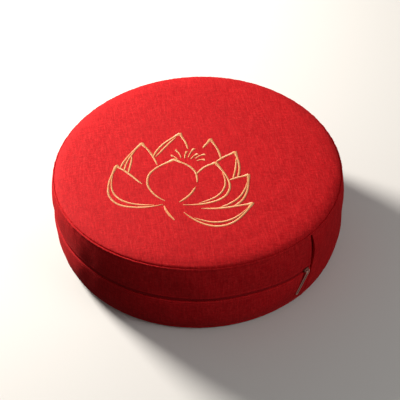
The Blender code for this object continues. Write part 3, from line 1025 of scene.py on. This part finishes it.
def lotusLines():
    # Each line as its petal, its places in mm and its widths
    form = lotusForm
    order = list(lotusPetals)
    lines = []
    for petal, side, start, end, inside in lotusStrokes:
        length = lotusPetals[petal][3] * (end - start)
        run = np.linspace(0, 1, max(16, int(length / 0.8)))
        depth = inside * np.sin(np.pi * (0.04 + 0.92 * run)) ** 0.45
        places = petalSide(petal, side, start + (end - start) * run, depth)
        for begin, stop in shownStretches(beyondPetals(places, order[: order.index(petal)])):
            far = run[begin:stop]
            along = (np.arange(stop - begin) + 0.5) / (stop - begin)
            width = form["lineWidth"] * (0.80 + 0.25 * np.sin(np.pi * far)) * (0.88 if inside else 1.0)
            closing = smoothstep(-0.05, 0.20, 1 - along)
            if end == 1 and stop == len(run):
                wider = form["tipWidth"] - form["lineWidth"]
                width = width + wider * bell((1 - far) * length, form["tipReach"])
                closing = smoothstep(-0.010, 0.016, 1 - along)
            opening = smoothstep(-0.05, 0.16, along)
            width = width * (0.35 + 0.65 * opening) * (0.30 + 0.70 * closing)
            lines.append((petal, places[begin:stop], width))

    run = np.linspace(0, 1, 26)
    for lean, near, far, hook in lotusStamens:
        sideward, forward = headings(lean)
        reach = np.outer(near + (far - near) * run, forward) + np.outer(hook * run**2.5, sideward)
        places = np.array(form["stamenFoot"]) + reach
        for begin, stop in shownStretches(beyondPetals(places, ("front", "frontRight"))):
            width = form["lineWidth"] * (0.60 + 0.75 * bell(1 - run[begin:stop], 0.22))
            lines.append(("stamens", places[begin:stop], width))
    at = np.linspace(0, len(lotusStem) - 1, 40)
    places = [throughPoints(list(enumerate(values)), at) for values in zip(*lotusStem)]
    width = form["lineWidth"] * (0.35 + 0.75 * np.sin(np.pi * np.linspace(0.05, 0.95, 40)) ** 0.7)
    lines.append(("stem", np.stack(places, axis=-1), width))
    return lines


def makeLotus(surface, stitchTree, finish):
    form = lotusForm
    halves = {"lotusFront": [], "lotusBack": []}
    for petal, places, width in lotusLines():
        spots = np.array(form["base"]) + places @ headings(form["lean"]) * form["scale"] * mm
        path = [(*castDown(surface, *spot), float(wide) / 2) for spot, wide in zip(spots, width)]
        halves["lotusFront" if petal in form["frontPiece"] else "lotusBack"].append(path)
    return [sewAlong(name, stitchTree, paths, finish, goldStitches) for name, paths in halves.items()]


goldLook = {
    "shader": {"Roughness": 0.42, "Specular IOR Level": 0.55, "Sheen Weight": 0.10, "Sheen Roughness": 0.4},
    "shade": (0.98, 0.37, 0.12, 1),
    "light": (1.0, 0.55, 0.24, 1),
    "patchScale": 260.0,
}


def makeGoldThread(name):
    look = goldLook
    finish, tree, shader = newMaterial(name, look["shader"])
    patchy = calc(tree, "SUBTRACT", noiseAt(tree, objectPlace(tree), look["patchScale"]), 0.5)
    share = calc(tree, "ADD", ranged(tree, toneOf(tree), 0.88, 1.12, 0.25, 0.85), patchy)
    share = addNode(tree, "ShaderNodeClamp", {}, {"Value": share}).outputs[0]
    tree.links.new(mixed(tree, share, look["shade"], look["light"]), shader.inputs["Base Color"])
    return finish


# Swept and stacked rings, for the zip's tape and the metal pieces

sharpAngle = math.radians(42)


def smoothed(mesh):
    mesh.shade_smooth()
    mesh.set_sharp_from_angle(angle=sharpAngle)
    return mesh


def meshFromRings(name, rings, joined=False):
    # Every ring is a closed loop of as many points. joined closes the last ring onto the first
    count = len(rings[0])
    total = count * len(rings)
    faces = []
    for here in range(0, total if joined else total - count, count):
        there = (here + count) % total
        for index in range(count):
            after = (index + 1) % count
            faces.append((here + index, here + after, there + after, there + index))
    if not joined:
        faces.append(tuple(range(count - 1, -1, -1)))
        faces.append(tuple(range(total - count, total)))
    mesh = meshOf(name, [point for ring in rings for point in ring], faces=faces)
    return smoothed(reshaped(mesh, lambda shape: bmesh.ops.recalc_face_normals(shape, faces=shape.faces)))


def sweptAlong(name, places, side, section, joined=False):
    # section is a list of (to the side, upwards) round each place of the path
    rings = []
    count = len(places)
    for index, place in enumerate(places):
        before = places[index - 1] if joined or index else place
        after = places[(index + 1) % count] if joined or index < count - 1 else place
        up = (after - before).normalized().cross(side).normalized()
        rings.append([place + side * across + up * lift for across, lift in section])
    return meshFromRings(name, rings, joined)


def roundSection(width, thickness, squareness=2.0):
    points = []
    count = 12
    for index in range(count):
        turn = 2 * math.pi * (index + 0.5) / count
        u, v = (math.copysign(abs(way) ** (2 / squareness), way) for way in (math.cos(turn), math.sin(turn)))
        points.append((width / 2 * u, thickness / 2 * v))
    return points


def arc(u, v, wide, high, start, end, count=17):
    # Points on a round or an oval about (u, v), from start to end in degrees
    turns = np.radians(np.linspace(start, end, count))
    return [(u + wide * math.cos(turn), v + high * math.sin(turn)) for turn in turns]


# The zip: its coil lies on a woven tape in the channel, and lines of stitches hold the tape to the cloth

zipForm = {
    "start": math.radians(-130.4),
    "sliderTurn": math.radians(43.8),
    "tapeEnd": math.radians(46.3),
    "tapePast": math.radians(0.6),  # how far the tape goes past the coil's start and the stitches' end
    "tapeSections": 420,
    "tapeHalf": 0.0027,
    "tapeLift": 0.00015,
    "tapeThickness": 0.0004,
    "coilHalf": 0.00122,
    "coilApart": 0.00160,  # between the middles of the two rows
    "coilLift": 0.00045,
    "stitchAway": 0.0066,  # from the zip's middle to its lines of stitches
    "stitchHalf": 0.00125,
    "pathStep": 0.0012,
}
coilStitches = {
    "Spacing": 0.0013,
    "Thickness": 0.00095,
    "Height": 0.00165,
    "Slant": math.radians(7),
    "Unevenness": 0.02,
    "Seed": 3,
}
lineStitches = {
    "Spacing": 0.0034,
    "Thickness": 0.00060,
    "Height": 0.00062,
    "Slant": math.radians(90),
    "Unevenness": 0.06,
    "Seed": 11,
}


def makeTape(surface, finish):
    form = zipForm
    rings = []
    for turn in np.linspace(form["start"] - form["tapePast"], form["tapeEnd"], form["tapeSections"]):
        heights = [float(zipHeight(turn)) + share * form["tapeHalf"] for share in (-1, -0.5, 0, 0.5, 1)]
        spots = [castIn(surface, turn, height)[0] for height in heights]
        under = outwardAt(turn) * form["tapeLift"]
        over = outwardAt(turn) * (form["tapeLift"] + form["tapeThickness"])
        rings.append([spot + over for spot in spots] + [spot + under for spot in reversed(spots)])
    return addPiece("zipTape", meshFromRings("zipTape", rings), finish)


def zipPath(surface, start, end, away, lift, half):
    path = []
    for turn in np.linspace(start, end, int((end - start) * coverForm["radius"] / zipForm["pathStep"])):
        outward = outwardAt(turn)
        spot, normal = castIn(surface, turn, float(zipHeight(turn)) + away)
        path.append((spot + outward * lift, outward if lift else normal, half))
    return path


def makeCoil(surface, stitchTree, finish):
    form = zipForm
    lift = form["tapeLift"] + form["tapeThickness"] + form["coilLift"]
    halfPitch = coilStitches["Spacing"] / 2 / coverForm["radius"]
    paths = []
    for away, shift in ((form["coilApart"] / 2, 0), (-form["coilApart"] / 2, halfPitch)):
        start, end = form["start"] + shift, form["sliderTurn"] + shift
        paths.append(zipPath(surface, start, end, away, lift, form["coilHalf"]))
    return sewAlong("zipCoil", stitchTree, paths, finish, coilStitches)


def makeZipStitches(surface, stitchTree, finish):
    form = zipForm
    paths = [
        zipPath(surface, form["start"], form["tapeEnd"] - form["tapePast"], away, 0, form["stitchHalf"])
        for away in (-form["stitchAway"], form["stitchAway"])
    ]
    return sewAlong("zipStitches", stitchTree, paths, finish, lineStitches)


# The slider, its link and its pull, in a frame at the slider: u along the zip, v up and w outwards

pullForm = {
    "length": 0.009,
    "width": 0.006,
    "thickness": 0.0026,
    "nose": 0.0016,
    "tailShare": 0.72,
    "tailCorner": ((0.0003, -0.0002), (0, -0.0006)),
    "low": -0.0006,  # the body's back, from the band's surface
    "bridgeLength": 0.007,
    "bridgeWidth": 0.0022,
    "bridgeBar": 0.0009,
    "bridgeOpening": 0.0019,
    "bridgeBend": 0.0015,
    "bridgeRoots": (-0.0008, 0.0002),  # from the body's face
    "bridgeSquareness": 3.0,
    "paintedShadeEnd": -0.0005,  # from the body's face: painted shade under this and painted light over the next
    "paintedLightStart": 0.0012,
    "linkWire": 0.0009,
    "linkInside": 0.002,
    "linkTone": 0.9,
    "tilt": math.radians(26),
    "pullLength": 0.039,
    "pullWidth": 0.0046,
    "pullHole": 0.0010,
    "headWall": 0.0013,
    "gap": 0.0003,
    "sunkEdge": 0.0009,  # the sunk face, painted in shade, starts this far in from the pull's sides
    "sunkTop": 0.0003,
    "leanStep": math.radians(0.1),
    "leanSteps": 150,
}
# The slider's edge at its back and at its face: how far in from its outline, and how far up or down, in mm
sliderBack = ((0.9, 0), (0.35, 0.05), (0.08, 0.22), (0.0, 0.45))
sliderFace = ((0.0, 0.85), (0.10, 0.45), (0.34, 0.15), (0.75, 0.02), (1.3, 0))
# The pull's edge, from its back to its sunk middle: how far in from its outline, and how high, in mm
pullSection = (
    (0.9, -0.65), (0.30, -0.63), (0.08, -0.48), (0.0, -0.25), (0.0, 0.22), (0.08, 0.46), (0.26, 0.62),
    (0.55, 0.66), (0.84, 0.62), (1.02, 0.44), (1.12, 0.20), (1.24, 0.06), (1.50, 0.02),
)


def zipFrame():
    turn = zipForm["sliderTurn"]
    height = float(zipHeight(turn))
    along = Vector((math.cos(turn), math.sin(turn), 0))
    out = outwardAt(turn)
    frameAt = Matrix((along, Vector((0, 0, 1)), out)).transposed().to_4x4()
    frameAt.translation = out * float(bandRadius(turn, height)) + Vector((0, 0, height))
    return frameAt


def sliderOutline(inset):
    form = pullForm
    halfLength, halfWidth, nose = form["length"] / 2, form["width"] / 2, form["nose"]
    waist = form["tailShare"] * halfWidth
    side = []
    for share in np.linspace(0.12, 0.88, 7):
        wide = halfWidth + (waist - halfWidth) * float(smoothstep(0.1, 0.8, share))
        side.append((halfLength - nose - (form["length"] - nose) * share, wide))
    side += [(-halfLength + u, waist + v) for u, v in form["tailCorner"]]
    points = arc(halfLength - nose, 0, nose, halfWidth, -90, 90) + side
    points += [(u, -v) for u, v in reversed(side)]
    return [(u * (1 - inset / halfLength), v * (1 - inset / halfWidth)) for u, v in points]


def makeSlider(finish):
    form = pullForm
    low = form["low"]
    high = low + form["thickness"]
    levels = [(inset, low + up * mm) for inset, up in sliderBack]
    levels += [(inset, high - down * mm) for inset, down in sliderFace]
    rings = [[Vector((u, v, level)) for u, v in sliderOutline(inset * mm)] for inset, level in levels]
    slider = addPiece("zipSlider", meshFromRings("sliderBody", rings), finish)
    half = form["bridgeLength"] / 2 - form["bridgeBar"] / 2
    top = high + form["bridgeOpening"] + form["bridgeBar"] / 2
    bend = form["bridgeBend"]
    spots = [(-half, high + root) for root in form["bridgeRoots"]]
    spots += arc(-half + bend, top - bend, bend, bend, 180, 90, 9)
    spots += [(-u, w) for u, w in reversed(spots)]
    section = roundSection(form["bridgeWidth"], form["bridgeBar"], form["bridgeSquareness"])
    bridge = sweptAlong("bridge", [Vector((u, 0, w)) for u, w in spots], Vector((0, 1, 0)), section)
    joinSolids(slider, addPiece("bridge", bridge, finish), "UNION")
    edges = (high + form["paintedShadeEnd"], high + form["paintedLightStart"])
    # painted light on the slider's face and painted shade on its back, towards the cloth
    paintLightAndShade(slider, lambda spot: float(smoothstep(*edges, spot.z)))
    slider.data.transform(zipFrame())
    return slider, high


def mergeDoubles(shape):
    bmesh.ops.remove_doubles(shape, verts=shape.verts, dist=0.01 * mm)


def joinSolids(piece, other, operation):
    cut = piece.modifiers.new("solids", "BOOLEAN")
    cut.operation = operation
    cut.solver = "EXACT"
    cut.object = other
    smoothed(reshaped(applied(piece, cut), mergeDoubles))
    bpy.data.objects.remove(other)


def paintLightAndShade(piece, lightShareAt):
    # tone is 1 for painted light and 0 for painted shade on the rose metal
    tone = piece.data.attributes.new("tone", "FLOAT", "POINT")
    tone.data.foreach_set("value", [lightShareAt(vertex.co) for vertex in piece.data.vertices])


def hangingFrame(bodyTop):
    form = pullForm
    lift = Matrix.Translation((0, 0, bodyTop + form["bridgeOpening"] + form["bridgeBar"] / 2))
    return zipFrame() @ lift @ Matrix.Rotation(-form["tilt"], 4, "Z")


def linkEnds():
    # Where the link's wire turns, along y, and the top of the pull's head
    form = pullForm
    halfPull, halfWire = form["pullWidth"] / 2, form["linkWire"] / 2
    clear = form["bridgeWidth"] / 2 + form["gap"]
    top = (clear + halfWire) / math.cos(form["tilt"])
    headTop = halfPull - (clear + halfPull) / math.cos(form["tilt"])
    foot = headTop - form["headWall"] - form["gap"] - halfWire
    return top, foot, headTop


def makeLink(finish, bodyTop):
    form = pullForm
    top, foot, _ = linkEnds()
    wire = form["linkWire"]
    bend = (form["linkInside"] + wire) / 2
    spots = arc(0, top - bend, bend, bend, 0, 180) + arc(0, foot + bend, bend, bend, 180, 360)
    places = [Vector((0, v, w)) for w, v in spots]
    mesh = sweptAlong("pullLink", places, Vector((1, 0, 0)), roundSection(wire, wire), True)
    mesh.transform(hangingFrame(bodyTop))
    link = addPiece("pullLink", mesh, finish)
    paintLightAndShade(link, lambda spot: form["linkTone"])
    return link


def makePull(surface, finish, bodyTop):
    form = pullForm
    half, length, hole = form["pullWidth"] / 2, form["pullLength"], form["pullHole"]
    rings = []
    for inset, level in pullSection:
        inner = half - inset * mm
        outline = arc(0, -half, inner, inner, 0, 180) + arc(0, half - length, inner, inner, 180, 360)
        rings.append([Vector((u, v, level * mm)) for u, v in outline])
    pull = addPiece("zipPull", meshFromRings("zipPull", rings), finish)
    size = {"segments": 28, "radius1": hole, "radius2": hole, "depth": 6 * mm}
    size["matrix"] = Matrix.Translation((0, -form["headWall"] - hole, 0))
    drill = bpy.data.meshes.new("drill")
    reshaped(drill, lambda shape: bmesh.ops.create_cone(shape, cap_ends=True, **size))
    joinSolids(pull, addPiece("drill", drill, finish), "DIFFERENCE")

    # The pull hangs in the link and leans back until it nearly touches the cloth
    _, foot, headTop = linkEnds()
    pivot = hangingFrame(bodyTop) @ Matrix.Translation((0, foot, 0))
    toHead = Matrix.Translation((0, headTop - foot, 0))
    rest = pivot @ toHead
    for step in range(form["leanSteps"]):
        leaning = pivot @ Matrix.Rotation(step * form["leanStep"], 4, "X") @ toHead
        if roomBehind(surface, leaning) < form["gap"]:
            break
        rest = leaning
    flat = half - form["sunkEdge"]
    # the pull's sunk middle is painted in shade and the rest is painted lit
    paintLightAndShade(pull, lambda spot: 0.0 if 0 < spot.z < form["sunkTop"] and abs(spot.x) < flat else 1.0)
    pull.data.transform(rest)
    return pull


def roomBehind(surface, leaning):
    form = pullForm
    level = pullSection[0][1] * mm
    least = math.inf
    for share in np.linspace(0, 1, 25):
        for side in (-0.5, -0.25, 0, 0.25, 0.5):
            back = leaning @ Vector((side * form["pullWidth"], -share * form["pullLength"], level))
            away = surface.find_nearest(back)[3]
            skin = castIn(surface, math.atan2(back.x, -back.y), back.z)[0]
            inside = math.hypot(*back.xy) < math.hypot(*skin.xy)
            least = min(least, -away if inside else away)
    return least


# The zip's looks

coilLook = {"shader": {"Roughness": 0.50, "Specular IOR Level": 0.25}, "colour": (0.46, 0.004, 0.009)}
threadLook = {"shader": {"Roughness": 0.65, "Specular IOR Level": 0.25}, "colour": (0.60, 0.006, 0.012)}
tapeLook = {
    "shader": {"Roughness": 0.8, "Specular IOR Level": 0.12},
    "shade": (0.22, 0.002, 0.004, 1),
    "light": (0.36, 0.003, 0.007, 1),
    "ribScale": 500.0,
    "ribDepth": 0.0001,
}
metalLook = {
    "shader": {"Metallic": 0.55},
    "shade": (0.22, 0.07, 0.05, 1),
    "light": (1.0, 0.64, 0.52, 1),
    "roughness": (0.27, 0.46),
    "wearScale": 420.0,
}


def makeThreadRed(name, look):
    finish, tree, shader = newMaterial(name, look["shader"])
    grain = ranged(tree, noiseAt(tree, objectPlace(tree), 900.0), 0.25, 0.75, 0.85, 1.15)
    bright = calc(tree, "MULTIPLY", grain, ranged(tree, toneOf(tree), 0.9, 1.1, 0.9, 1.1))
    tree.links.new(vectorCalc(tree, "SCALE", look["colour"], bright), shader.inputs["Base Color"])
    return finish


def makeTapeRed(name):
    look = tapeLook
    finish, tree, shader = newMaterial(name, look["shader"])
    inputs = {"Vector": objectPlace(tree), "Scale": look["ribScale"], "Distortion": 0.3}
    ribs = addNode(tree, "ShaderNodeTexWave", {"bands_direction": "Z"}, inputs).outputs["Fac"]
    # painted shade in the grooves between the ribs, which are low in the bump too
    tree.links.new(mixed(tree, ribs, look["shade"], look["light"]), shader.inputs["Base Color"])
    addBump(tree, shader, ribs, 0.5, look["ribDepth"])
    return finish


def makeRoseMetal(name):
    look = metalLook
    finish, tree, shader = newMaterial(name, look["shader"])
    worn = noiseAt(tree, objectPlace(tree), look["wearScale"], 4.0, 0.6)
    # bright is tone's painted light and shade, dimmed a little where the metal is worn
    bright = calc(tree, "MULTIPLY", toneOf(tree), ranged(tree, worn, 0.3, 0.7, 1.0, 0.8))
    tree.links.new(mixed(tree, bright, look["shade"], look["light"]), shader.inputs["Base Color"])
    tree.links.new(ranged(tree, worn, 0.3, 0.7, *look["roughness"]), shader.inputs["Roughness"])
    return finish


# Floor, lights and camera

lightLook = {
    "target": (0, 0, 0.1),
    "keyTurn": math.radians(-131),
    "keyRise": math.radians(29),
    "keyDistance": 2.0,
    "keySize": 0.5,
    "keyPower": 86.0,
    "keyColour": (1.0, 0.95, 0.88),
    "fillPlace": (1.47, -1.03, 1.3),
    "fillSize": 1.2,
    "fillPower": 11.0,
    "fillColour": (1.0, 0.98, 0.96),
    "roomColour": (1.0, 0.98, 0.96, 1),
    "roomAbove": 0.16,
    "roomBelow": 0.045,
    "floor": {"Base Color": (0.78, 0.77, 0.75, 1), "Roughness": 0.8},
    "floorHalf": 3,
    "floorHeight": -0.0004,
}
cameraView = {
    "distance": 1.7350,
    "rise": math.radians(44.493),
    "roll": math.radians(-1.416),
    "tilt": math.radians(1.273),
    "pan": math.radians(-0.059),
    "lens": 104.306,
    "sensor": 36,
}


def makeCamera():
    view = cameraView
    place = view["distance"] * Vector((0, -math.cos(view["rise"]), math.sin(view["rise"])))
    data = bpy.data.cameras.new("camera")
    data.lens = view["lens"]
    data.sensor_width = view["sensor"]
    turn = (-place).to_track_quat("-Z", "Y").to_matrix()
    for angle, axis in (("roll", "Z"), ("tilt", "X"), ("pan", "Y")):
        turn = turn @ Matrix.Rotation(view[angle], 3, axis)
    camera = linked("camera", data)
    camera.matrix_world = Matrix.Translation(place) @ turn.to_4x4()
    bpy.context.scene.camera = camera


def addAreaLight(name, place, kind):
    data = bpy.data.lights.new(name, "AREA")
    data.shape = "DISK"
    data.size = lightLook[kind + "Size"]
    data.energy = lightLook[kind + "Power"]
    data.color = lightLook[kind + "Colour"]
    lamp = linked(name, data)
    lamp.location = place
    lamp.rotation_mode = "QUATERNION"
    lamp.rotation_quaternion = (Vector(lightLook["target"]) - Vector(place)).to_track_quat("-Z", "Y")


def makeStudio():
    look = lightLook
    key = outwardAt(look["keyTurn"]) * math.cos(look["keyRise"]) + Vector((0, 0, math.sin(look["keyRise"])))
    addAreaLight("windowLight", key * look["keyDistance"], "key")
    addAreaLight("roomFill", look["fillPlace"], "fill")
    world = bpy.data.worlds.new("room")
    world.use_nodes = True
    tree = world.node_tree
    sky = tree.nodes["Background"]
    sky.inputs["Color"].default_value = look["roomColour"]
    direction = addNode(tree, "ShaderNodeTexCoord").outputs["Generated"]
    up = addNode(tree, "ShaderNodeSeparateXYZ", {}, {0: direction}).outputs[2]
    strength = ranged(tree, up, -0.15, 0.25, look["roomBelow"], look["roomAbove"])
    tree.links.new(strength, sky.inputs["Strength"])
    bpy.context.scene.world = world
    bpy.context.scene.view_settings.view_transform = "Standard"
    half, height = look["floorHalf"], look["floorHeight"]
    corners = [(x * half, y * half, height) for x, y in ((-1, -1), (1, -1), (1, 1), (-1, 1))]
    mesh = meshOf("floor", corners, faces=[(0, 1, 2, 3)])
    floor = addPiece("floor", mesh, newMaterial("paleFloor", look["floor"])[0])
    floor.visible_diffuse = False  # the pale floor throws no light back onto the cloth
    floor.visible_glossy = False


makeCamera()
makeStudio()
linen = makeLinen("redLinen")
cover = makeCover(linen)
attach(cover, "root")
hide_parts("cushion")
print("cover", len(cover.data.polygons), "faces")

surface = surfaceOf(cover)
stitchTree = makeStitchTree()
gold = makeGoldThread("goldThread")
for piece in makeLotus(surface, stitchTree, gold):
    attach(piece, "root")
    print(piece.name, len(piece.data.polygons), "faces")

coilRed = makeThreadRed("coilRed", coilLook)
threadRed = makeThreadRed("threadRed", threadLook)
tape = makeTape(surface, makeTapeRed("tapeRed"))
coil = makeCoil(surface, stitchTree, coilRed)
for piece in (tape, coil):
    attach(piece, "root")
    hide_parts("zip_chain")
stitches = makeZipStitches(surface, stitchTree, threadRed)
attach(stitches, "root")
print("zip", len(coil.data.polygons), "faces")

roseMetal = makeRoseMetal("roseMetal")
slider, bodyTop = makeSlider(roseMetal)
link = makeLink(roseMetal, bodyTop)
pull = makePull(surface, roseMetal, bodyTop)
for piece, node in ((slider, "zip_slider"), (link, "pull_link"), (pull, "pull_tab")):
    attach(piece, "root")
    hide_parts(node)
print("slider, link and pull")
